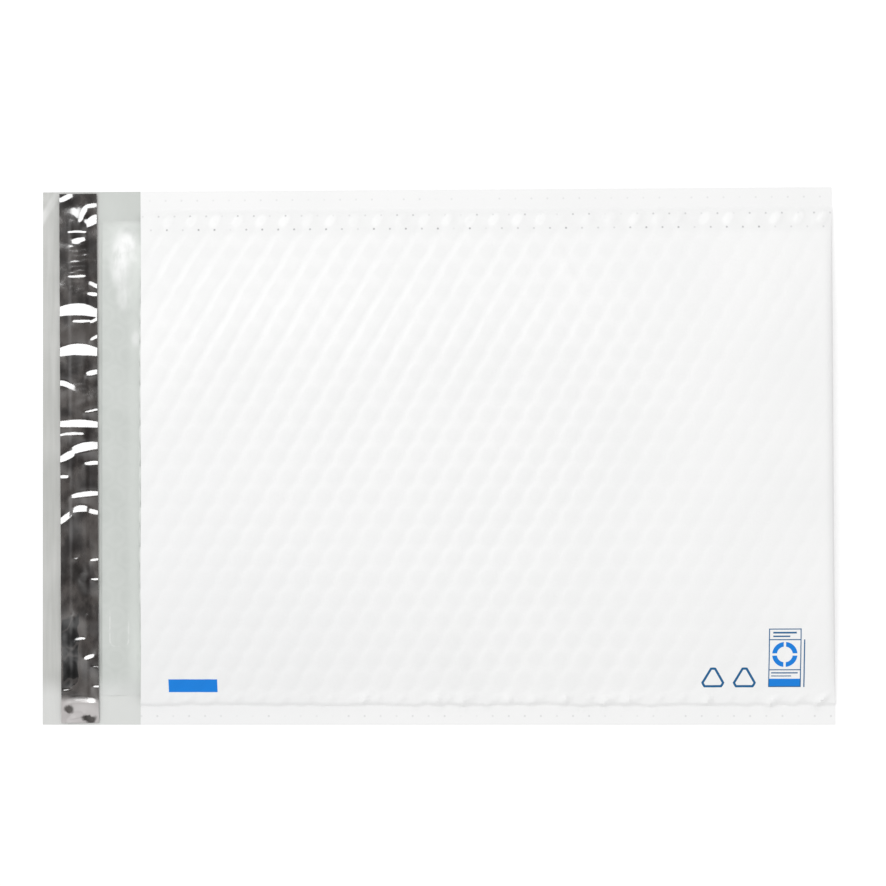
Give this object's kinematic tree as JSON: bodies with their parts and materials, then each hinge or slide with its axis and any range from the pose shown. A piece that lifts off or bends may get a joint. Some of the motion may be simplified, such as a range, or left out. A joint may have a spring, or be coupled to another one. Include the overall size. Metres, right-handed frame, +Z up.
{
  "type": "bubble mailer",
  "caption": "Flat padded mailing pouch: a folded white film sheet fused along both sides, lined with bubble film, with a sealing lip that carries a covered adhesive strip.",
  "frame": {"origin": "centre of the mailer's outline, on the surface that its back panel lies on", "axes": "+X along the mailer from the sealing lip to the folded end, +Y across it between the side seams, +Z up out of the front panel"},
  "size_m": [0.3192, 0.216, 0.0124],
  "materials": {
    "white_film": null,
    "bubble_film": "clear bubble film against grey, smooth side inwards",
    "hot_melt": "tacky pale amber bead",
    "release_film": "glossy dark brown-grey film with cross wrinkles"
  },
  "bodies": {
    "root": {"outer_film": "white_film", "bubble_liner": "bubble_film", "adhesive_strip": "hot_melt", "release_strip": "release_film"}
  },
  "joints": []
}
